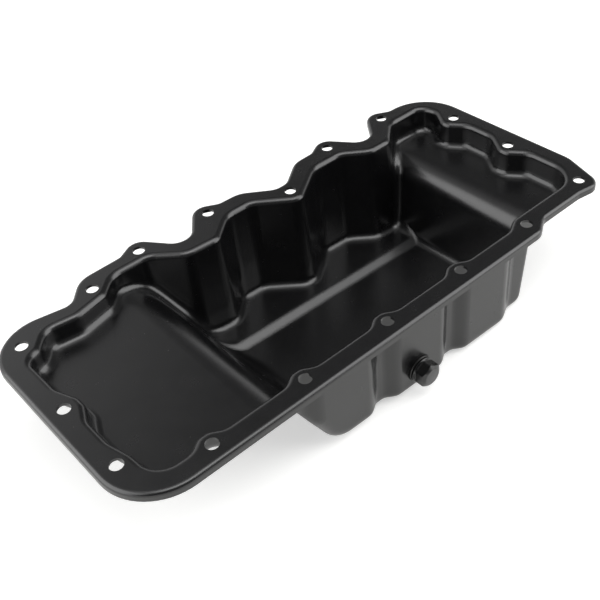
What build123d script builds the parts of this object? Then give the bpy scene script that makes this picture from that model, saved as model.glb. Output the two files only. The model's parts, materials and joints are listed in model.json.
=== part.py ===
from build123d import *
import math
import os

# Deep-drawn steel engine oil pan, in millimetres, with its drain plug.
# +Z is up out of the pan, and the sealing face of the flange lies in the plane Z = 0.
# The origin is the middle hole of the straight front row of bolt holes, +X runs along that row.

# Sheet, flange and lip
SHEET = 1.9
LIP_HEIGHT = 6.0
LIP_BEND = 2.8
LIP_LENGTH = 430.0
LEFT_END = -199.6
FRONT_EDGE = -12.8
FRONT_EDGE_RIGHT = -4.4
BACK_EDGE = 188.2
VALLEY_EDGE = 170.3
LOBE_RISE = 10.2
LOBE_ROUND = 11.8

# Bolt holes
HOLE_D = 9.0
FRONT_PITCH = 70.0
FRONT_COUNT = 5
PAIR_PITCH = 62.0
PAIR_Y = 183.3
PAIR_X = (-40.0, 143.0)
SINGLE_HOLES = (
    (52.0, 159.0),
    (-117.0, 171.0),
    (-179.3, 155.0),
    (-187.0, 86.0),
    (-187.0, 26.8),
    (209.5, 6.0),
    (212.2, 77.0),
    (215.0, 138.0),
)

# Pressed form inside the flange, to the inner face of the sheet
DRAFT = 1.5
MOUTH_BEND = 4.5
FOOT_FILLET = 6.0
FRONT_WALL = 5.0
FRONT_WALL_RIGHT = 11.8
BUMP_WALL = 10.6
LEFT_WALL = -182.0
RIGHT_WALL = 214.1
LEFT_SHELF_DEPTH = 17.0
RIGHT_SHELF_DEPTH = 22.0
SUMP_DEPTH = 85.0
SUMP_DEPTH_X = -36.0
FLOOR_FALL = 1.8
RAMP_TOP_X = -82.4
RAMP_ANGLE = 60.0
RAMP_TOP_BEND = 30.0
RAMP_FOOT_BEND = 20.0
END_WALL_X = 156.8
END_WALL_DRAFT = 6.5
END_WALL_TOP_BEND = 20.0
END_WALL_FOOT_BEND = 8.0
STEP_RISE = 4.0
STEP_Y = 121.5
STEP_ANGLE = 29.0

# Drain plug, washer and boss
PLUG_X = 33.4
PLUG_Z = -70.8
THREAD_D = 14.0
THREAD_CLEARANCE = 0.05
SHEET_HOLE_CLEARANCE = 0.4
BOSS_D = 21.0
BOSS_LENGTH = 11.0
BOSS_CHAMFER = 1.5
GASKET_D = 21.4
GASKET_THICKNESS = 1.6
COLLAR_D = 20.6
COLLAR_THICKNESS = 2.2
HEX_AF = 17.0
HEX_LENGTH = 8.6
HEX_CHAMFER_ANGLE = 30.0
SHANK_LENGTH = 16.5
SHANK_CHAMFER = 1.2


def rounded(points):
    """Closed face whose corners (x, y, radius) are joined by straight runs and tangent arcs."""
    corners = [(x, y) for x, y, r in points]
    radii = [r for x, y, r in points]
    return make_face(FilletPolyline(*corners, radius=radii, close=True))


def hole_centres():
    """The 17 bolt holes: the front row, two back pairs and the single ones."""
    first = -FRONT_PITCH * (FRONT_COUNT - 1) / 2
    front = [(first + FRONT_PITCH * i, 0.0) for i in range(FRONT_COUNT)]
    pairs = [(x + side * PAIR_PITCH / 2, PAIR_Y) for x in PAIR_X for side in (-1, 1)]
    return front + pairs + list(SINGLE_HOLES)


def back_pair(centre, corner_left, corner_right):
    """Flange edge round one back pair, from right to left: two lobes and the valley between."""
    lobe = PAIR_PITCH / 2 - 4.3
    half = [
        (44.7, BACK_EDGE, 8.0),
        (lobe, BACK_EDGE + LOBE_RISE, LOBE_ROUND),
        (6.1, VALLEY_EDGE, 12.0),
    ]
    right = [(centre + x, y, r) for x, y, r in half]
    left = [(centre - x, y, r) for x, y, r in reversed(half)]
    return corner_right + right + left + corner_left


def flange_outline():
    """Outer edge of the lip, seen from above, counter-clockwise from the front left corner."""
    right_end = LEFT_END + LIP_LENGTH
    valley = sum(PAIR_X) / 2
    jog = FRONT_PITCH * (FRONT_COUNT - 1) / 2
    front = [
        (LEFT_END, FRONT_EDGE, 39.0),
        (jog + 1.0, FRONT_EDGE, 14.0),
        (jog + 14.6, FRONT_EDGE_RIGHT, 9.0),
        (196.0, FRONT_EDGE_RIGHT, 10.0),
        (218.0, FRONT_EDGE_RIGHT - 3.8, 12.0),
        (right_end, 30.0, 25.0),
        (right_end, BACK_EDGE, 38.0),
    ]
    middle = [
        (valley + 28.3, BACK_EDGE - 0.6, 20.0),
        (valley + 5.4, VALLEY_EDGE, 13.0),
        (valley - 5.4, VALLEY_EDGE, 13.0),
        (valley - 28.3, BACK_EDGE - 0.6, 20.0),
    ]
    left = [
        (-119.0, BACK_EDGE - 1.0, 20.0),
        (-135.3, 168.5, 10.0),
        (LEFT_END, 181.0, 34.0),
    ]
    return rounded(front + back_pair(PAIR_X[1], middle, []) + back_pair(PAIR_X[0], left, []))


def mouth_outline():
    """Inner face of the pressed wall where it meets the sealing plane."""
    first = -FRONT_PITCH * (FRONT_COUNT - 1) / 2
    front = [
        (-175.0, FRONT_WALL - 0.4, 15.0),
        (first - 12.5, FRONT_WALL - 0.4, 11.0),
        (first - 4.0, BUMP_WALL, 7.0),
        (first + 4.0, BUMP_WALL, 7.0),
        (first + 12.5, FRONT_WALL, 11.0),
    ]
    for i in range(1, FRONT_COUNT - 1):
        bolt = first + FRONT_PITCH * i
        front += [
            (bolt - 12.5, FRONT_WALL, 11.0),
            (bolt - 4.0, BUMP_WALL, 7.0),
            (bolt + 4.0, BUMP_WALL, 7.0),
            (bolt + 12.5, FRONT_WALL, 11.0),
        ]
    front += [
        (126.0, FRONT_WALL, 14.0),
        (139.0, FRONT_WALL_RIGHT, 14.0),
    ]
    right = [
        (RIGHT_WALL, FRONT_WALL_RIGHT, 23.0),
        (RIGHT_WALL, 57.0, 14.0),
        (RIGHT_WALL - 11.0, 72.0, 8.5),
        (RIGHT_WALL - 11.0, 80.0, 8.5),
        (RIGHT_WALL, 97.0, 14.0),
        (RIGHT_WALL, 121.0, 14.0),
        (RIGHT_WALL - 10.6, 136.0, 8.5),
        (RIGHT_WALL - 10.6, 142.5, 8.5),
        (RIGHT_WALL - 1.5, 157.0, 11.0),
        (RIGHT_WALL - 4.0, 171.8, 10.5),
    ]
    back = [
        (175.1, 171.5, 13.0),
        (154.9, 153.2, 12.0),
        (133.0, 153.2, 12.0),
        (113.3, 169.0, 14.0),
        (85.8, 169.0, 16.0),
        (55.2, 147.5, 10.0),
        (48.0, 147.5, 10.0),
        (21.3, 169.5, 14.0),
        (-0.2, 169.5, 14.0),
        (-21.5, 151.8, 12.0),
        (-49.0, 153.6, 16.0),
        (-70.0, 173.0, 14.0),
        (-99.0, 173.0, 16.0),
        (-113.0, 160.0, 12.0),
        (-138.0, 153.8, 16.0),
        (-160.5, 157.0, 12.0),
        (-172.0, 144.0, 10.0),
        (LEFT_WALL - 0.4, 140.0, 9.0),
    ]
    left = [
        (LEFT_WALL, 106.0, 14.0),
        (LEFT_WALL + 6.6, 89.5, 9.0),
        (LEFT_WALL + 6.6, 81.5, 9.0),
        (LEFT_WALL + 0.8, 68.0, 14.0),
        (LEFT_WALL + 0.8, 46.0, 20.0),
        (-176.6, 28.0, 25.0),
    ]
    return rounded(front + right + back + left)


def floor_profile(raise_floor, grow):
    """Side view (X, Z) of the pressed form, from the left shelf down the ramp to the right shelf.

    raise_floor lifts the sump floor, and grow moves every surface outwards by the sheet.
    """
    top = 40.0
    reach = 260.0
    ramp = math.radians(RAMP_ANGLE)
    fall = math.radians(FLOOR_FALL)
    wall = math.radians(END_WALL_DRAFT)

    def floor_z(x):
        level = -SUMP_DEPTH + raise_floor - grow / math.cos(fall)
        return level - (x - SUMP_DEPTH_X) * math.tan(fall)

    shelf_left = -LEFT_SHELF_DEPTH - grow
    shelf_right = -RIGHT_SHELF_DEPTH - grow

    def ramp_x(z):
        return RAMP_TOP_X - grow / math.sin(ramp) - (z + LEFT_SHELF_DEPTH) / math.tan(ramp)

    def wall_x(z):
        return END_WALL_X + grow / math.cos(wall) + (z + SUMP_DEPTH) * math.tan(wall)

    foot_x = ramp_x(floor_z(0.0))
    foot_x = ramp_x(floor_z(foot_x))
    end_x = wall_x(floor_z(END_WALL_X))
    return rounded([
        (-reach, top, 0.0),
        (-reach, shelf_left, 0.0),
        (ramp_x(shelf_left), shelf_left, RAMP_TOP_BEND - grow),
        (foot_x, floor_z(foot_x), RAMP_FOOT_BEND + grow),
        (end_x, floor_z(end_x), END_WALL_FOOT_BEND + grow),
        (wall_x(shelf_right), shelf_right, END_WALL_TOP_BEND - grow),
        (reach, shelf_right, 0.0),
        (reach, top, 0.0),
    ])


def foot_edges(form):
    """Edges where the drafted walls of a form meet its shelves, ramp and floor."""
    floors = [
        f for f in form.faces()
        if f.bounding_box().max.Z < -1.0 and abs(f.normal_at().Y) < 0.001
        and f.bounding_box().size.Y > 100.0
    ]
    edges = [e for f in floors for e in f.edges()]
    return [e for e in edges if sum(1 for other in edges if other.is_same(e)) == 1]


def tub(raise_floor, grow):
    """Solid form of the pressing: drafted walls cut off by the floor profile, foot rounded."""
    outline = mouth_outline()
    if grow:
        outline = offset(outline, amount=grow, kind=Kind.ARC)
    walls = extrude(outline, amount=SUMP_DEPTH * 1.2, taper=DRAFT)
    walls = mirror(walls, about=Plane.XY)
    block = extrude(Plane.XZ * floor_profile(raise_floor, grow), amount=300.0, both=True)
    form = walls & block
    return fillet(foot_edges(form), radius=FOOT_FILLET + grow)


def behind_step(grow):
    """Everything below and behind the sloping step in the sump floor."""
    slope = math.radians(STEP_ANGLE)
    fall = math.radians(FLOOR_FALL)
    along = Vector(math.cos(fall), 0, -math.sin(fall))
    up_step = Vector(0, math.cos(slope), math.sin(slope))
    normal = along.cross(up_step).normalized()
    foot = Vector(SUMP_DEPTH_X, STEP_Y, -SUMP_DEPTH)
    step = Plane(origin=foot - normal * grow, x_dir=along, z_dir=normal)
    return step * Box(1200, 1200, 600, align=(Align.CENTER, Align.CENTER, Align.MAX))


def pressed_form(grow):
    """The deep form with the raised strip along its back wall."""
    return tub(0.0, grow) - (behind_step(grow) - tub(STEP_RISE, grow))


def level_face(body, z):
    """The largest horizontal face at height z."""
    faces = [
        f for f in body.faces().filter_by(GeomType.PLANE)
        if abs(f.center().Z - z) < 0.001 and abs(f.normal_at().Z) > 0.999
    ]
    return max(faces, key=lambda f: f.area)


def flange():
    """Flat flange with its lip turned down all round."""
    outline = flange_outline()
    inside = offset(outline, amount=-SHEET, kind=Kind.ARC)
    plate = extrude(outline, amount=-LIP_HEIGHT)
    plate = fillet(level_face(plate, 0.0).edges(), radius=LIP_BEND)
    pocket = Pos(0, 0, -LIP_HEIGHT) * extrude(inside, amount=LIP_HEIGHT - SHEET)
    pocket = fillet(level_face(pocket, -SHEET).edges(), radius=LIP_BEND - SHEET)
    return plate - pocket


def wall_plane():
    """Plane on the inner face of the front wall at the drain, its z axis pointing out of the pan."""
    draft = math.radians(DRAFT)
    face_y = FRONT_WALL - PLUG_Z * math.tan(draft)
    return Plane(
        origin=(PLUG_X, face_y, PLUG_Z),
        x_dir=(1, 0, 0),
        z_dir=(0, -math.cos(draft), -math.sin(draft)),
    )


def round_bar(diameter, start, length):
    """Cylinder along the drain axis, from start outwards."""
    bar = Cylinder(diameter / 2, length, align=(Align.CENTER, Align.CENTER, Align.MIN))
    return wall_plane() * Pos(0, 0, start) * bar


def pan_body():
    """The pressed sheet: flange, walls, shelves, ramp and sump."""
    body = flange() + pressed_form(SHEET)
    body = body - pressed_form(0.0)
    body = fillet(level_face(body, 0.0).inner_wires().edges(), radius=MOUTH_BEND)
    under = level_face(body, -SHEET)
    body = fillet(under.inner_wires().edges(), radius=MOUTH_BEND - SHEET)
    holes = [
        Pos(x, y, 0) * Cylinder(HOLE_D / 2, 4 * SHEET) for x, y in hole_centres()
    ]
    drain = round_bar(THREAD_D + 2 * SHEET_HOLE_CLEARANCE, -2.0, 6.0)
    return body - (holes + [drain])


def drain_boss():
    """Threaded boss on the inner face of the front wall; the thread is a plain bore."""
    boss = round_bar(BOSS_D, -BOSS_LENGTH, BOSS_LENGTH)
    rim = boss.edges().filter_by(GeomType.CIRCLE).sort_by(Axis.Y)[-1]
    boss = chamfer(rim, length=BOSS_CHAMFER)
    return boss - round_bar(THREAD_D + 2 * THREAD_CLEARANCE, -BOSS_LENGTH - 1.0, BOSS_LENGTH + 2.0)


def outer_face():
    """Distance from the inner to the outer face of the front wall."""
    return SHEET * math.cos(math.radians(DRAFT))


def drain_gasket():
    """Flat sealing washer."""
    ring = round_bar(GASKET_D, outer_face(), GASKET_THICKNESS)
    hole = round_bar(THREAD_D + 2 * SHEET_HOLE_CLEARANCE, outer_face() - 1.0, GASKET_THICKNESS + 2.0)
    return ring - hole


def drain_plug():
    """Flanged hexagon plug with a plain shank."""
    seat = outer_face() + GASKET_THICKNESS
    shank = round_bar(THREAD_D, seat - SHANK_LENGTH, SHANK_LENGTH)
    tip = shank.edges().filter_by(GeomType.CIRCLE).sort_by(Axis.Y)[-1]
    shank = chamfer(tip, length=SHANK_CHAMFER)
    collar = round_bar(COLLAR_D, seat, COLLAR_THICKNESS)
    rim = collar.edges().filter_by(GeomType.CIRCLE).sort_by(Axis.Y)[0]
    collar = fillet(rim, radius=COLLAR_THICKNESS * 0.4)
    prism = extrude(RegularPolygon(HEX_AF / 2, 6, major_radius=False), amount=HEX_LENGTH)
    end_radius = HEX_AF / 2 - 0.2
    cone = Cone(
        end_radius + (HEX_LENGTH + 10.0) / math.tan(math.radians(HEX_CHAMFER_ANGLE)),
        end_radius,
        HEX_LENGTH + 10.0,
        align=(Align.CENTER, Align.CENTER, Align.MAX),
    )
    hexagon = prism & (Pos(0, 0, HEX_LENGTH) * cone)
    hexagon = wall_plane() * Pos(0, 0, seat + COLLAR_THICKNESS) * hexagon
    return shank + collar + hexagon


if __name__ == "__main__":
    os.makedirs("parts", exist_ok=True)
    pieces = {
        "pan_body": pan_body(),
        "drain_boss": drain_boss(),
        "drain_gasket": drain_gasket(),
        "drain_plug": drain_plug(),
    }
    for name, piece in pieces.items():
        piece.label = name
        export_step(piece, f"parts/{name}.step")
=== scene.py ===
import json
import math

import bmesh
import bpy
from mathutils import Matrix, Vector


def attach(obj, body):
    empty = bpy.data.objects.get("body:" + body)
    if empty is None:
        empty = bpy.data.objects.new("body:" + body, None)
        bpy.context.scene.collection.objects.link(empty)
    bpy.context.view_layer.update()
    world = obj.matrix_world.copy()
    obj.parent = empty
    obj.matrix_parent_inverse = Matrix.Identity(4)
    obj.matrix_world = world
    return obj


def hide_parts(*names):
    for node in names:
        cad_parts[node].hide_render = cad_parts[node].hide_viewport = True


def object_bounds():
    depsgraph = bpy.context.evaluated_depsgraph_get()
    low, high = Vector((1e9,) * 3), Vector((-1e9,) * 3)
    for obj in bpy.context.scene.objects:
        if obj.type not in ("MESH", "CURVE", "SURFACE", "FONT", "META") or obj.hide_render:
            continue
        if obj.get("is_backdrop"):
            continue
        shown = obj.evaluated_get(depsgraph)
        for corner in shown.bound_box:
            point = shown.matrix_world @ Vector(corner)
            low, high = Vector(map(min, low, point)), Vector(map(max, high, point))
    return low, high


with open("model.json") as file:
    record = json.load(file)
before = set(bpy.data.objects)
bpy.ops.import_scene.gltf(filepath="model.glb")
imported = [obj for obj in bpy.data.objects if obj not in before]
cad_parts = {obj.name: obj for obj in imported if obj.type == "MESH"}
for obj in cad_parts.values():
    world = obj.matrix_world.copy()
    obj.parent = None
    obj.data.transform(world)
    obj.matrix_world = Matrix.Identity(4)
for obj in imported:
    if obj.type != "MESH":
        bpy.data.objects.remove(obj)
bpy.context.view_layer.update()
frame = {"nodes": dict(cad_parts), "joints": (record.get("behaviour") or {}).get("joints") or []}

bl_info = {
    "name": "Engine Oil Pan",
    "version": (1, 0, 0),
    "blender": (4, 5, 0),
    "location": "View3D > Sidebar > Oil Pan",
    "description": "Coats the oil pan, makes its threaded plug and washer, and sets up the studio",
    "category": "Object",
}

MM = 0.001

# Sizes of the finishes' patterns, in millimetres
ORANGE_PEEL = 2.2
DRAWN_WAVE = 38
COAT_BLOTCH = 14
DUST_SPACING = 11
PHOSPHATE_CRYSTAL = 0.7
PHOSPHATE_PATCH = 5
RUBBER_BLOOM = 1.6
# Heights of the finishes' unevenness, in millimetres
WAVE_HEIGHT = 0.12
PEEL_HEIGHT = 0.012
CRYSTAL_HEIGHT = 0.015
BLOOM_HEIGHT = 0.02
# Radius of a dust grain as a share of the grains' spacing
DUST_GRAIN = 0.021
# How much the coat's blotches are glossier and duller than its mean roughness
COAT_UNEVENNESS = (-0.03, 0.05)
# Refraction of the dip coat and of the oil on the plug, and of the rubber
FILM_IOR = 1.6
RUBBER_IOR = 1.55

# Corners at the bottom of the sump are shaded as if rounded by this radius, fully so below the
# first height and not at all above the second, in millimetres
SOFT_RADIUS = 4
SOFT_HEIGHTS = (-75, -60)

# Depth of the thread, and clearances of the boss's bore and the washer's hole on it, in millimetres
THREAD_DEPTH = 0.92
BORE_CLEARANCE = 0.08
WASHER_CLEARANCE = 0.4
# Radius of the plug's flat end disc as a share of the hexagon's width across its flats
END_DISC = 0.38
# Raggedness of the rim of the paler end disc, partly bare steel and partly a painted reflection, and
# width of its fading, in millimetres
END_DISC_RAGGED = 0.9
END_DISC_FADE = 0.5
# Chamfer of the hexagon, in degrees
HEX_CHAMFER = 29
# Vertices nearer than this are one, in millimetres
MERGE = 0.001

# Light of the room on the pan, and brightness of its walls to the eye
ROOM_LIGHT = 0.1
ROOM_WALLS = 1.0
# Distances from the origin between which the floor's lift grows to the walls' brightness, in metres
FLOOR_FADE = (0.5, 2.2)

# Softboxes: name, azimuth from +Y towards +X and elevation in degrees, width and height in metres
SOFTBOXES = (
    ("right_softbox", 132, 36, 1.3, 2.3),
    ("left_softbox", -72, 28, 2.0, 1.7),
    ("top_softbox", -160, 74, 1.0, 0.9),
)
# Flags: azimuth of the left edge, sweep to the right and elevations, in degrees
FLAGS = (
    (-45, 155, (20, 35, 50, 62)),
    (150, 120, (2, 18, 34, 48)),
)
FLAG_RADIUS = 2.2
# Azimuth at which the flags are palest, and cosine of the angle from there at which they are darkest
FLAG_PALE = -30
FLAG_SPREAD = 0.4


# Colours and nodes

def linear(hex_text):
    """Linear RGBA of an sRGB colour written as six hex digits."""
    values = [int(hex_text[i:i + 2], 16) / 255 for i in (0, 2, 4)]
    return tuple(v / 12.92 if v <= 0.04045 else ((v + 0.055) / 1.055) ** 2.4 for v in values) + (1.0,)


def add(tree, kind, settings=None, values=None, links=None):
    """Adds a node with its settings, input values and links from other nodes' outputs."""
    node = tree.nodes.new(kind)
    for name, value in (settings or {}).items():
        setattr(node, name, value)
    for name, value in (values or {}).items():
        node.inputs[name].default_value = value
    for name, source in (links or {}).items():
        tree.links.new(source, node.inputs[name])
    return node


def new_material(name):
    """An empty node material and its tree."""
    material = bpy.data.materials.new(name)
    material.use_nodes = True
    material.node_tree.nodes.clear()
    return material, material.node_tree


# Finishes

def black_dip_coat(settings):
    """Cathodic dip coat on drawn steel: an even satin black film with a faint orange peel.

    It mirrors the studio softly, and a few grains of dust lie on it. The sheet under it is a little
    wavy, and its corners at the bottom of the sump catch the light as rounded ones do.
    """
    material, tree = new_material("black_dip_coat")
    place = add(tree, "ShaderNodeTexCoord").outputs["Object"]
    peel = add(tree, "ShaderNodeTexNoise", links={"Vector": place}, values={
        "Scale": 1 / (ORANGE_PEEL * MM), "Detail": 2.0, "Roughness": 0.5})
    drawn = add(tree, "ShaderNodeTexNoise", links={"Vector": place}, values={
        "Scale": 1 / (DRAWN_WAVE * MM), "Detail": 1.5, "Roughness": 0.45})
    cloud = add(tree, "ShaderNodeTexNoise", links={"Vector": place}, values={
        "Scale": 1 / (COAT_BLOTCH * MM), "Detail": 4.0, "Roughness": 0.6})
    shade = add(tree, "ShaderNodeMix", {"data_type": "RGBA"}, links={"Factor": cloud.outputs["Fac"]})
    shade.inputs["A"].default_value = linear(settings.coat_dark)
    shade.inputs["B"].default_value = linear(settings.coat_light)
    grains = add(tree, "ShaderNodeTexVoronoi", {"feature": "F1"}, {"Scale": 1 / (DUST_SPACING * MM)},
                 {"Vector": place})
    speck = add(tree, "ShaderNodeMath", {"operation": "LESS_THAN"}, {1: DUST_GRAIN},
                {0: grains.outputs["Distance"]})
    dusty = add(tree, "ShaderNodeMix", {"data_type": "RGBA"},
                links={"Factor": speck.outputs[0], "A": shade.outputs["Result"]})
    dusty.inputs["B"].default_value = linear(settings.dust_colour)
    gloss = add(tree, "ShaderNodeMapRange", links={"Value": cloud.outputs["Fac"]}, values={
        "To Min": settings.coat_roughness + COAT_UNEVENNESS[0],
        "To Max": settings.coat_roughness + COAT_UNEVENNESS[1]})
    height = add(tree, "ShaderNodeSeparateXYZ", links={"Vector": place}).outputs["Z"]
    deep = add(tree, "ShaderNodeMapRange", links={"Value": height}, values={
        "From Min": SOFT_HEIGHTS[0] * MM, "From Max": SOFT_HEIGHTS[1] * MM, "To Min": 1.0, "To Max": 0.0})
    plain = add(tree, "ShaderNodeNewGeometry")
    rounded = add(tree, "ShaderNodeBevel", {"samples": 8}, {"Radius": SOFT_RADIUS * MM})
    soft = add(tree, "ShaderNodeMix", {"data_type": "VECTOR"}, links={
        "Factor": deep.outputs["Result"], "A": plain.outputs["Normal"], "B": rounded.outputs["Normal"]})
    wave = add(tree, "ShaderNodeBump", values={"Strength": 1.0, "Distance": WAVE_HEIGHT * MM},
               links={"Height": drawn.outputs["Fac"], "Normal": soft.outputs["Result"]})
    skin = add(tree, "ShaderNodeBump", values={"Strength": 1.0, "Distance": PEEL_HEIGHT * MM},
               links={"Height": peel.outputs["Fac"], "Normal": wave.outputs["Normal"]})
    surface = add(tree, "ShaderNodeBsdfPrincipled", values={"IOR": FILM_IOR},
                  links={"Base Color": dusty.outputs["Result"], "Roughness": gloss.outputs["Result"],
                         "Normal": skin.outputs["Normal"]})
    add(tree, "ShaderNodeOutputMaterial", links={"Surface": surface.outputs["BSDF"]})
    return material


def phosphated_steel(settings):
    """Black phosphate and oil on a forged plug: near black, finely mottled, with an oily sheen.

    The end face shows a paler disc of dull steel grey, partly bare steel and partly a painted reflection
    of the pale floor it faces.
    """
    material, tree = new_material("black_phosphate")
    place = add(tree, "ShaderNodeTexCoord").outputs["Object"]
    crystals = add(tree, "ShaderNodeTexNoise", links={"Vector": place}, values={
        "Scale": 1 / (PHOSPHATE_CRYSTAL * MM), "Detail": 3.0, "Roughness": 0.6})
    patches = add(tree, "ShaderNodeTexNoise", links={"Vector": place}, values={
        "Scale": 1 / (PHOSPHATE_PATCH * MM), "Detail": 3.0})
    shade = add(tree, "ShaderNodeMix", {"data_type": "RGBA"}, links={"Factor": patches.outputs["Fac"]})
    shade.inputs["A"].default_value = linear(settings.phosphate_dark)
    shade.inputs["B"].default_value = linear(settings.phosphate_light)
    end = (settings.sheet_thickness + settings.washer_thickness + settings.head_length) / MM
    centre = drain_frame() @ Vector((0, 0, end))
    reach = add(tree, "ShaderNodeVectorMath", {"operation": "DISTANCE"}, links={0: place})
    reach.inputs[1].default_value = centre
    # Paler disc painted on the end face: partly bare steel, partly a painted reflection of the pale floor
    ragged = add(tree, "ShaderNodeMath", {"operation": "MULTIPLY_ADD"}, {1: END_DISC_RAGGED * MM},
                 {0: patches.outputs["Fac"], 2: reach.outputs["Value"]})
    disc = settings.hex_flats * END_DISC
    end_disc_mask = add(tree, "ShaderNodeMapRange", links={"Value": ragged.outputs[0]}, values={
        "From Min": disc, "From Max": disc + END_DISC_FADE * MM, "To Min": 1.0, "To Max": 0.0})
    bare_and_reflection = add(tree, "ShaderNodeMix", {"data_type": "RGBA"},
               links={"Factor": end_disc_mask.outputs["Result"], "A": shade.outputs["Result"]})
    bare_and_reflection.inputs["B"].default_value = linear(settings.bare_end_and_reflection)
    gloss = add(tree, "ShaderNodeMapRange", links={"Value": patches.outputs["Fac"]}, values={
        "To Min": settings.plug_roughness[0], "To Max": settings.plug_roughness[1]})
    skin = add(tree, "ShaderNodeBump", values={"Strength": 1.0, "Distance": CRYSTAL_HEIGHT * MM},
               links={"Height": crystals.outputs["Fac"]})
    surface = add(tree, "ShaderNodeBsdfPrincipled", values={"IOR": FILM_IOR},
                  links={"Base Color": bare_and_reflection.outputs["Result"], "Roughness": gloss.outputs["Result"],
                         "Normal": skin.outputs["Normal"]})
    add(tree, "ShaderNodeOutputMaterial", links={"Surface": surface.outputs["BSDF"]})
    return material


def nitrile_rubber(settings):
    """Nitrile rubber moulded on a steel washer: charcoal black with a faint bloom and a soft gloss."""
    material, tree = new_material("nitrile_rubber")
    place = add(tree, "ShaderNodeTexCoord").outputs["Object"]
    bloom = add(tree, "ShaderNodeTexNoise", links={"Vector": place}, values={
        "Scale": 1 / (RUBBER_BLOOM * MM), "Detail": 3.0})
    shade = add(tree, "ShaderNodeMix", {"data_type": "RGBA"}, links={"Factor": bloom.outputs["Fac"]})
    shade.inputs["A"].default_value = linear(settings.rubber_dark)
    shade.inputs["B"].default_value = linear(settings.rubber_light)
    skin = add(tree, "ShaderNodeBump", values={"Strength": 1.0, "Distance": BLOOM_HEIGHT * MM},
               links={"Height": bloom.outputs["Fac"]})
    surface = add(tree, "ShaderNodeBsdfPrincipled",
                  values={"IOR": RUBBER_IOR, "Roughness": settings.rubber_roughness},
                  links={"Base Color": shade.outputs["Result"], "Normal": skin.outputs["Normal"]})
    add(tree, "ShaderNodeOutputMaterial", links={"Surface": surface.outputs["BSDF"]})
    return material


# Shapes round the drain's axis, in millimetres

def drain_frame():
    """Turns +Z to the drain's way out and brings the origin to the sheet's inner face, from mm."""
    turn = next(joint for joint in frame["joints"] if joint["name"] == "plug_turn")
    upright = Vector((0, 0, 1)).rotation_difference(Vector(turn["axis"])).to_matrix().to_4x4()
    return Matrix.Translation(turn["pos_m"]) @ upright @ Matrix.Scale(MM, 4)


def ring(bm, radius, height, segments=96):
    """Loop of edges round +Z, whose radius and height are numbers or functions of the angle."""
    made = bmesh.ops.create_circle(bm, cap_ends=False, radius=1.0, segments=segments)
    for vert in made["verts"]:
        turn = math.atan2(vert.co.y, vert.co.x)
        reach = radius(turn) if callable(radius) else radius
        rise = height(turn) if callable(height) else height
        vert.co = (reach * math.cos(turn), reach * math.sin(turn), rise)
    return list({edge for vert in made["verts"] for edge in vert.link_edges})


def bridge(bm, loops):
    """Walls from each loop of edges to the next."""
    for below, above in zip(loops, loops[1:]):
        bmesh.ops.bridge_loops(bm, edges=below + above)


def thread_tube(bm, root, crest, pitch, low, high, steps=60):
    """Open tube with a 60 degree thread, cut square at low and high; returns its two end loops.

    Its turns lie on whole pitches, so a thread inside another always meshes with it.
    """
    flank = abs(crest - root) * math.tan(math.radians(30))
    land = pitch - 2 * flank
    start = (math.floor(low / pitch) - 1) * pitch
    turns = math.ceil((high - start) / pitch) + 1
    line = [(root, 0.0), (root, land * 2 / 3), (crest, land * 2 / 3 + flank), (crest, land + flank),
            (root, pitch)]
    verts = [bm.verts.new((reach, 0.0, start + rise)) for reach, rise in line]
    edges = [bm.edges.new(pair) for pair in zip(verts, verts[1:])]
    bmesh.ops.spin(bm, geom=verts + edges, cent=(0, 0, 0), axis=(0, 0, 1), dvec=(0, 0, pitch / steps),
                   angle=math.tau * turns, steps=steps * turns, use_duplicate=False)
    bmesh.ops.remove_doubles(bm, verts=bm.verts, dist=MERGE)
    for level, side in ((low, -1), (high, 1)):
        bmesh.ops.bisect_plane(bm, geom=bm.verts[:] + bm.edges[:] + bm.faces[:], plane_co=(0, 0, level),
                               plane_no=(0, 0, side), clear_outer=True)
    bmesh.ops.remove_doubles(bm, verts=bm.verts, dist=MERGE)
    ends = [edge for edge in bm.edges if edge.is_boundary]
    return [[edge for edge in ends if abs(edge.verts[0].co.z - level) < 10 * MERGE]
            for level in (low, high)]


def reshape_radius(bm, limit):
    """Moves each vertex in or out to the radius that limit gives for its radius and height."""
    for vert in bm.verts:
        reach = math.hypot(vert.co.x, vert.co.y)
        change = limit(reach, vert.co.z) / reach
        vert.co.x *= change
        vert.co.y *= change


def place_piece(bm, name, body, material, node=None, crease=25):
    """Makes a bmesh on the drain's axis a piece that rides on a body and may stand for a node.

    Edges that turn by more than the crease, in degrees, are shaded sharp.
    """
    bmesh.ops.recalc_face_normals(bm, faces=bm.faces)
    bmesh.ops.transform(bm, matrix=drain_frame(), verts=bm.verts)
    mesh = bpy.data.meshes.new(name)
    bm.to_mesh(mesh)
    bm.free()
    mesh.shade_smooth()
    mesh.set_sharp_from_angle(angle=math.radians(crease))
    mesh.materials.append(material)
    piece = bpy.data.objects.new(name, mesh)
    bpy.context.scene.collection.objects.link(piece)
    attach(piece, body)
    if node:
        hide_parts(node)
    return piece


# Settings

class PanSettings(bpy.types.PropertyGroup):
    """How the pan's coat looks"""

    coat_dark: bpy.props.StringProperty(
        name="Coat, dark", description="Darker shade of the dip coat, sRGB hex", default="070708")
    coat_light: bpy.props.StringProperty(
        name="Coat, light", description="Lighter shade of the dip coat, sRGB hex", default="0c0c0d")
    dust_colour: bpy.props.StringProperty(
        name="Dust", description="Colour of the dust grains, sRGB hex", default="5c5b58")
    coat_roughness: bpy.props.FloatProperty(
        name="Coat roughness", description="Mean roughness of the dip coat", default=0.25,
        min=0.0, max=1.0, subtype="FACTOR")


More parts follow.
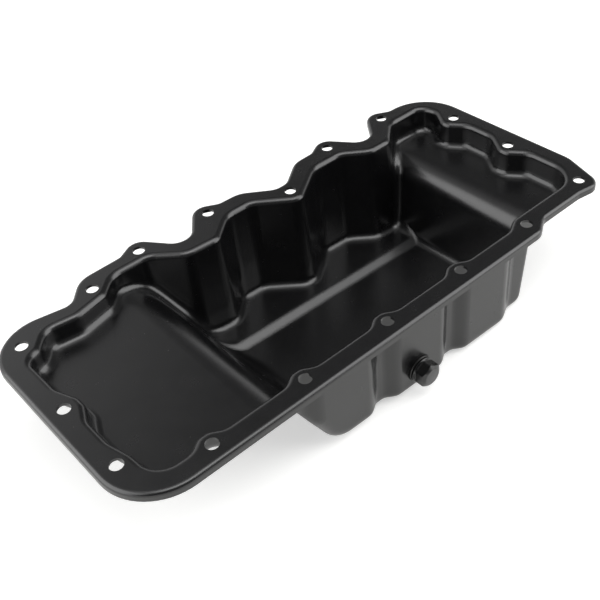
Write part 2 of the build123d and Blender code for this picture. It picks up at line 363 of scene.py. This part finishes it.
class DrainSettings(bpy.types.PropertyGroup):
    """Sizes and colours of the boss, the washer and the plug"""

    thread_diameter: bpy.props.FloatProperty(
        name="Thread", description="Outer diameter of the plug's thread", default=0.014, unit="LENGTH")
    thread_pitch: bpy.props.FloatProperty(
        name="Pitch", description="Rise of the thread in one turn", default=0.0015, unit="LENGTH",
        precision=4)
    shank_length: bpy.props.FloatProperty(
        name="Shank", description="Length of the plug under its collar", default=0.0165, unit="LENGTH")
    hex_flats: bpy.props.FloatProperty(
        name="Hexagon", description="Width of the hexagon across its flats", default=0.017, unit="LENGTH")
    head_length: bpy.props.FloatProperty(
        name="Head", description="Length of the collar and the hexagon together", default=0.0108,
        unit="LENGTH")
    collar_diameter: bpy.props.FloatProperty(
        name="Collar", description="Diameter of the plug's collar", default=0.0206, unit="LENGTH")
    washer_diameter: bpy.props.FloatProperty(
        name="Washer", description="Outer diameter of the sealing washer", default=0.0214, unit="LENGTH")
    washer_thickness: bpy.props.FloatProperty(
        name="Washer thickness", description="Thickness of the sealing washer", default=0.0016,
        unit="LENGTH", precision=4)
    sheet_thickness: bpy.props.FloatProperty(
        name="Sheet", description="Thickness of the wall along the drain's axis", default=0.0018993,
        unit="LENGTH", precision=4)
    boss_diameter: bpy.props.FloatProperty(
        name="Boss", description="Diameter of the welded boss", default=0.021, unit="LENGTH")
    boss_length: bpy.props.FloatProperty(
        name="Boss length", description="Height of the boss over the sheet", default=0.011, unit="LENGTH")
    phosphate_dark: bpy.props.StringProperty(
        name="Phosphate, dark", description="Darker shade of the plug, sRGB hex", default="070708")
    phosphate_light: bpy.props.StringProperty(
        name="Phosphate, light", description="Lighter shade of the plug, sRGB hex", default="0f0f10")
    # Colour of the paler end disc: partly bare steel, partly a painted reflection of the pale floor
    bare_end_and_reflection: bpy.props.StringProperty(
        name="Worn end", description="Colour of the plug's worn end face, sRGB hex", default="303031")
    plug_roughness: bpy.props.FloatVectorProperty(
        name="Plug roughness", description="Roughness of the plug where it is oily and where it is dry",
        default=(0.16, 0.32), size=2, min=0.0, max=1.0)
    rubber_dark: bpy.props.StringProperty(
        name="Rubber, dark", description="Darker shade of the washer, sRGB hex", default="161616")
    rubber_light: bpy.props.StringProperty(
        name="Rubber, light", description="Lighter shade of the washer, sRGB hex", default="232322")
    rubber_roughness: bpy.props.FloatProperty(
        name="Rubber roughness", description="Roughness of the washer", default=0.24,
        min=0.0, max=1.0, subtype="FACTOR")


class StageSettings(bpy.types.PropertyGroup):
    """The floor, the camera and the lamps"""

    floor_size: bpy.props.FloatProperty(
        name="Floor", description="Side of the floor", default=8.0, unit="LENGTH")
    floor_colour: bpy.props.StringProperty(
        name="Floor colour", description="Colour of the floor, sRGB hex", default="f0f0ee")
    floor_lift: bpy.props.FloatProperty(
        name="Floor lift", description="Light that seen floor adds to its own colour", default=0.28)
    floor_bleach: bpy.props.FloatProperty(
        name="Floor bleach", description="Light added to the floor that the camera sees directly",
        default=0.2)
    camera_place: bpy.props.FloatVectorProperty(
        name="Camera place", description="Where the photograph was taken from", unit="LENGTH",
        default=(-0.30142, -0.32456, 0.41202), size=3)
    camera_yaw: bpy.props.FloatProperty(
        name="Yaw", description="Turn of the view from +Y towards +X", subtype="ANGLE",
        default=math.radians(39.451))
    camera_drop: bpy.props.FloatProperty(
        name="Drop", description="Angle that the camera looks down", subtype="ANGLE",
        default=math.radians(38.426))
    camera_roll: bpy.props.FloatProperty(
        name="Roll", description="Turn about the line of sight", subtype="ANGLE",
        default=math.radians(-4.859))
    camera_lens: bpy.props.FloatProperty(
        name="Lens", description="Focal length for a 36 mm wide frame", default=56.38, unit="CAMERA")
    camera_shift: bpy.props.FloatVectorProperty(
        name="Shift", description="Share of the frame that the picture is shifted by",
        default=(-0.0667, -0.0833), size=2)
    softbox_distance: bpy.props.FloatProperty(
        name="Softbox distance", description="Distance of the softboxes from the pan", default=1.6,
        unit="LENGTH")
    softbox_glow: bpy.props.FloatVectorProperty(
        name="Softbox glow", description="Brightness of the right, the left and the top softbox",
        default=(2.6, 2.2, 3.0), size=3)
    flag_glow: bpy.props.FloatVectorProperty(
        name="Flag glow", description="Brightness of the grey flags, at the left and away from it",
        default=(1.8, 0.16), size=2)


# Pieces

class OILPAN_OT_coat(bpy.types.Operator):
    """Gives the pressed sheet its black dip coat"""

    bl_idname = "oilpan.coat"
    bl_label = "Coat the pan"

    def execute(self, context):
        coat = black_dip_coat(context.scene.oilpan_pan)
        for slot in frame["nodes"]["pan_body"].material_slots:
            slot.material = coat
        return {"FINISHED"}


class OILPAN_OT_boss(bpy.types.Operator):
    """Makes the threaded boss and the weld bead round its foot"""

    bl_idname = "oilpan.boss"
    bl_label = "Weld the boss"

    def execute(self, context):
        drain = context.scene.oilpan_drain
        coat = frame["nodes"]["pan_body"].material_slots[0].material
        bore = drain.thread_diameter / MM / 2 + BORE_CLEARANCE
        outside = drain.boss_diameter / MM / 2
        low = -drain.boss_length / MM
        drilled = bore - 0.9
        mouth = bore + 0.35

        bm = bmesh.new()
        inner, outer = thread_tube(bm, bore - THREAD_DEPTH, bore, drain.thread_pitch / MM, low, 0.0)
        reshape_radius(bm, lambda reach, z: max(reach, mouth - min(z - low, -z), drilled))
        # From the bore's inner mouth over the rounded shoulder down to the foot
        bridge(bm, [inner, ring(bm, outside - 1.5, low), ring(bm, outside - 0.5, low + 0.6),
                    ring(bm, outside, low + 1.5), ring(bm, outside, 0.0), outer])
        place_piece(bm, "threaded_boss", "pan", coat, "drain_boss")

        def swell(turn):
            """Unevenness of the weld round the boss."""
            return (0.16 * math.sin(7 * turn) + 0.11 * math.sin(13 * turn + 1.0)
                    + 0.07 * math.sin(29 * turn))

        # Width past the boss, height, and share of the unevenness, from the bead's foot upwards
        bead = [(1.15, 0.0, 1.0), (0.95, -0.5, 0.8), (0.45, -0.85, 0.5), (-0.1, -1.0, 0.2),
                (-0.4, -0.9, 0.0), (-0.4, 0.0, 0.0)]
        bm = bmesh.new()
        loops = [
            ring(bm, lambda turn, out=out, share=share: outside + out + share * swell(turn), rise, 160)
            for out, rise, share in bead
        ]
        bridge(bm, loops + loops[:1])
        place_piece(bm, "boss_weld", "pan", coat)
        return {"FINISHED"}


class OILPAN_OT_washer(bpy.types.Operator):
    """Makes the sealing washer with its rounded rubber rim"""

    bl_idname = "oilpan.washer"
    bl_label = "Mould the washer"

    def execute(self, context):
        drain = context.scene.oilpan_drain
        face = drain.sheet_thickness / MM
        rim = drain.washer_diameter / MM / 2
        thick = drain.washer_thickness / MM
        hole = drain.thread_diameter / MM / 2 + WASHER_CLEARANCE
        # Radius and depth under the face, from the hole to the middle of the rim
        half = [(hole, 0.2), (hole + 0.2, 0.0), (rim - 0.6, 0.0), (rim - 0.3, 0.08), (rim - 0.1, 0.28),
                (rim, 0.6)]
        outline = half + [(reach, thick - rise) for reach, rise in reversed(half)]
        bm = bmesh.new()
        loops = [ring(bm, reach, face + rise) for reach, rise in outline]
        bridge(bm, loops + loops[:1])
        place_piece(bm, "sealing_washer", "washer", nitrile_rubber(drain), "drain_gasket")
        return {"FINISHED"}


class OILPAN_OT_plug(bpy.types.Operator):
    """Makes the drain plug: threaded shank, flared collar and chamfered hexagon"""

    bl_idname = "oilpan.plug"
    bl_label = "Forge the plug"

    def execute(self, context):
        drain = context.scene.oilpan_drain
        seat = (drain.sheet_thickness + drain.washer_thickness) / MM
        thread = drain.thread_diameter / MM / 2
        tip = seat - drain.shank_length / MM
        end = seat + drain.head_length / MM
        collar = drain.collar_diameter / MM / 2
        throat = collar - 1.7
        neck = 2.0
        point = 1.2
        apothem = drain.hex_flats / MM / 2
        corner = apothem * 1.135
        face = 2 * apothem * END_DISC

        def shank(reach, z):
            """Points the thread at the tip and clears it away under the collar."""
            relief = thread - THREAD_DEPTH if z > seat - neck else thread
            return min(reach, thread - point + (z - tip), relief)

        def flats(turn):
            """Radius of the hexagon, with its corners cut a little."""
            sixth = math.pi / 3
            return min(apothem / math.cos((turn + sixth / 2) % sixth - sixth / 2), corner)

        def shoulder(turn):
            """Height at which the chamfer meets the flats."""
            return end - (flats(turn) - face) * math.tan(math.radians(HEX_CHAMFER))

        bm = bmesh.new()
        low, high = thread_tube(bm, thread - THREAD_DEPTH, thread, drain.thread_pitch / MM, tip, seat)
        reshape_radius(bm, shank)
        # From the shank out under the collar, round it, up the hexagon and over its chamfer
        loops = [
            high, ring(bm, throat, seat), ring(bm, throat, seat + 0.7),
            ring(bm, collar - 0.45, seat + 0.75), ring(bm, collar - 0.1, seat + 0.9),
            ring(bm, collar, seat + 1.15), ring(bm, collar - 0.05, seat + 1.5),
            ring(bm, collar - 0.3, seat + 1.8), ring(bm, lambda turn: flats(turn) + 0.3, seat + 2.0),
            ring(bm, lambda turn: flats(turn) + 0.08, seat + 2.2), ring(bm, flats, seat + 2.45),
            ring(bm, flats, lambda turn: shoulder(turn) - 0.15),
            ring(bm, lambda turn: flats(turn) - 0.15, shoulder),
            ring(bm, face + 0.15, end - 0.05), ring(bm, face - 0.2, end),
        ]
        bridge(bm, loops)
        for end_loop in (low, loops[-1]):
            bmesh.ops.edgeloop_fill(bm, edges=end_loop)
        place_piece(bm, "threaded_plug", "plug", phosphated_steel(drain), "drain_plug",
                    crease=14)
        return {"FINISHED"}


# Stage

def white_to_eye(tree):
    """1 for the rays that see the backdrop itself: from the camera, a gloss or glass."""
    path = add(tree, "ShaderNodeLightPath")
    eye = add(tree, "ShaderNodeMath", {"operation": "ADD", "use_clamp": True},
              links={0: path.outputs["Is Camera Ray"], 1: path.outputs["Is Glossy Ray"]})
    eye = add(tree, "ShaderNodeMath", {"operation": "ADD", "use_clamp": True},
              links={0: eye.outputs[0], 1: path.outputs["Is Transmission Ray"]})
    return eye.outputs[0]


def floor_material(settings):
    """Matt white paper sweep, lifted to white where it is seen, and more so away from the lamps."""
    material, tree = new_material("white_paper_sweep")
    paper = add(tree, "ShaderNodeBsdfDiffuse", values={"Color": linear(settings.floor_colour)})
    place = add(tree, "ShaderNodeTexCoord").outputs["Object"]
    away = add(tree, "ShaderNodeVectorMath", {"operation": "LENGTH"}, links={0: place})
    rise = add(tree, "ShaderNodeMapRange", links={"Value": away.outputs["Value"]}, values={
        "From Min": FLOOR_FADE[0], "From Max": FLOOR_FADE[1],
        "To Min": settings.floor_lift, "To Max": ROOM_WALLS})
    strength = add(tree, "ShaderNodeMath", {"operation": "MULTIPLY"},
                   links={0: white_to_eye(tree), 1: rise.outputs["Result"]})
    direct = add(tree, "ShaderNodeLightPath").outputs["Is Camera Ray"]
    strength = add(tree, "ShaderNodeMath", {"operation": "MULTIPLY_ADD"}, {1: settings.floor_bleach},
                   {0: direct, 2: strength.outputs[0]})
    lift = add(tree, "ShaderNodeEmission", links={"Strength": strength.outputs[0]})
    both = add(tree, "ShaderNodeAddShader")
    tree.links.new(paper.outputs[0], both.inputs[0])
    tree.links.new(lift.outputs[0], both.inputs[1])
    add(tree, "ShaderNodeOutputMaterial", links={"Surface": both.outputs[0]})
    return material


def around(azimuth, elevation, distance=1.0):
    """Point at a distance from the origin; azimuth turns from +Y towards +X."""
    level = math.cos(elevation) * distance
    return Vector((math.sin(azimuth) * level, math.cos(azimuth) * level, math.sin(elevation) * distance))


def softbox(name, azimuth, elevation, distance, width, height, glow):
    """Area lamp that faces the pan, of an even brightness whatever its size."""
    lamp = bpy.data.lights.new(name, "AREA")
    lamp.shape = "RECTANGLE"
    lamp.size = width
    lamp.size_y = height
    lamp.energy = math.pi * width * height * glow
    box = bpy.data.objects.new(name, lamp)
    place = around(math.radians(azimuth), math.radians(elevation), distance)
    box.matrix_world = Matrix.Translation(place) @ place.to_track_quat("Z", "Y").to_matrix().to_4x4()
    bpy.context.scene.collection.objects.link(box)


def flag_material(settings):
    """Grey felt flag that only a gloss sees; it is palest where the left softbox grazes it."""
    material, tree = new_material("grey_flag")
    place = add(tree, "ShaderNodeTexCoord").outputs["Object"]
    facing = add(tree, "ShaderNodeVectorMath", {"operation": "DOT_PRODUCT"}, links={0: place})
    facing.inputs[1].default_value = around(math.radians(FLAG_PALE), 0.0, 1 / FLAG_RADIUS)
    glow = add(tree, "ShaderNodeMapRange", links={"Value": facing.outputs["Value"]}, values={
        "From Min": FLAG_SPREAD, "From Max": 1.0,
        "To Min": settings.flag_glow[1], "To Max": settings.flag_glow[0]})
    surface = add(tree, "ShaderNodeEmission", links={"Strength": glow.outputs["Result"]})
    add(tree, "ShaderNodeOutputMaterial", links={"Surface": surface.outputs[0]})
    return material


def grey_flags(settings):
    """Curved flags behind and before the pan, seen only in reflections."""
    bm = bmesh.new()
    for start, sweep, elevations in FLAGS:
        line = [bm.verts.new(around(math.radians(start), math.radians(rise), FLAG_RADIUS))
                for rise in elevations]
        edges = [bm.edges.new(pair) for pair in zip(line, line[1:])]
        bmesh.ops.spin(bm, geom=line + edges, cent=(0, 0, 0), axis=(0, 0, 1), dvec=(0, 0, 0),
                       angle=-math.radians(sweep), steps=24, use_duplicate=False)
    mesh = bpy.data.meshes.new("grey_flags")
    bm.to_mesh(mesh)
    bm.free()
    mesh.materials.append(flag_material(settings))
    flag = bpy.data.objects.new("grey_flags", mesh)
    bpy.context.scene.collection.objects.link(flag)
    flag.visible_camera = False
    flag.visible_diffuse = False
    flag.visible_shadow = False
    flag.visible_transmission = False
    flag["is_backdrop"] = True


class OILPAN_OT_stage(bpy.types.Operator):
    """Makes the floor, the lights, the world and the camera"""

    bl_idname = "oilpan.stage"
    bl_label = "Set the stage"

    def execute(self, context):
        settings = context.scene.oilpan_stage
        scene = context.scene
        scene.view_settings.view_transform = "Standard"

        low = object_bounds()[0]
        bpy.ops.mesh.primitive_plane_add(size=settings.floor_size, location=(0, 0, low.z))
        floor = context.object
        floor.name = "floor"
        floor.data.materials.append(floor_material(settings))
        floor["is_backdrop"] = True

        for (name, azimuth, elevation, width, height), glow in zip(SOFTBOXES, settings.softbox_glow):
            softbox(name, azimuth, elevation, settings.softbox_distance, width, height, glow)
        grey_flags(settings)

        world = bpy.data.worlds.new("studio")
        scene.world = world
        world.use_nodes = True
        tree = world.node_tree
        tree.nodes.clear()
        room = add(tree, "ShaderNodeBackground", values={"Color": (1, 1, 1, 1), "Strength": ROOM_LIGHT})
        seen = add(tree, "ShaderNodeBackground", values={"Color": (1, 1, 1, 1), "Strength": ROOM_WALLS})
        mix = add(tree, "ShaderNodeMixShader", links={"Fac": white_to_eye(tree)})
        tree.links.new(room.outputs[0], mix.inputs[1])
        tree.links.new(seen.outputs[0], mix.inputs[2])
        add(tree, "ShaderNodeOutputWorld", links={"Surface": mix.outputs[0]})

        lens = bpy.data.cameras.new("camera")
        lens.sensor_width = 36.0
        lens.lens = settings.camera_lens
        lens.shift_x, lens.shift_y = settings.camera_shift
        lens.clip_start = 0.01
        camera = bpy.data.objects.new("camera", lens)
        camera.matrix_world = (
            Matrix.Translation(settings.camera_place)
            @ Matrix.Rotation(-settings.camera_yaw, 4, "Z")
            @ Matrix.Rotation(math.pi / 2 - settings.camera_drop, 4, "X")
            @ Matrix.Rotation(settings.camera_roll, 4, "Z")
        )
        scene.collection.objects.link(camera)
        scene.camera = camera
        return {"FINISHED"}


# Panel and registration

class OILPAN_PT_panel(bpy.types.Panel):
    """The oil pan's pieces and their settings"""

    bl_label = "Oil Pan"
    bl_idname = "OILPAN_PT_panel"
    bl_space_type = "VIEW_3D"
    bl_region_type = "UI"
    bl_category = "Oil Pan"

    def draw(self, context):
        groups = (
            ((OILPAN_OT_coat,), "oilpan_pan"),
            ((OILPAN_OT_boss, OILPAN_OT_washer, OILPAN_OT_plug), "oilpan_drain"),
            ((OILPAN_OT_stage,), "oilpan_stage"),
        )
        for kinds, owner in groups:
            box = self.layout.box()
            for kind in kinds:
                box.operator(kind.bl_idname)
            settings = getattr(context.scene, owner)
            for name in settings.bl_rna.properties.keys():
                if name not in ("rna_type", "name"):
                    box.prop(settings, name)


CLASSES = (
    PanSettings, DrainSettings, StageSettings, OILPAN_OT_coat, OILPAN_OT_boss, OILPAN_OT_washer,
    OILPAN_OT_plug, OILPAN_OT_stage, OILPAN_PT_panel,
)


def register():
    for kind in CLASSES:
        bpy.utils.register_class(kind)
    bpy.types.Scene.oilpan_pan = bpy.props.PointerProperty(type=PanSettings)
    bpy.types.Scene.oilpan_drain = bpy.props.PointerProperty(type=DrainSettings)
    bpy.types.Scene.oilpan_stage = bpy.props.PointerProperty(type=StageSettings)


def unregister():
    del bpy.types.Scene.oilpan_stage
    del bpy.types.Scene.oilpan_drain
    del bpy.types.Scene.oilpan_pan
    for kind in reversed(CLASSES):
        bpy.utils.unregister_class(kind)


def main():
    register()
    bpy.ops.oilpan.coat()
    bpy.ops.oilpan.boss()
    bpy.ops.oilpan.washer()
    bpy.ops.oilpan.plug()
    bpy.ops.oilpan.stage()


if __name__ == "__main__":
    main()
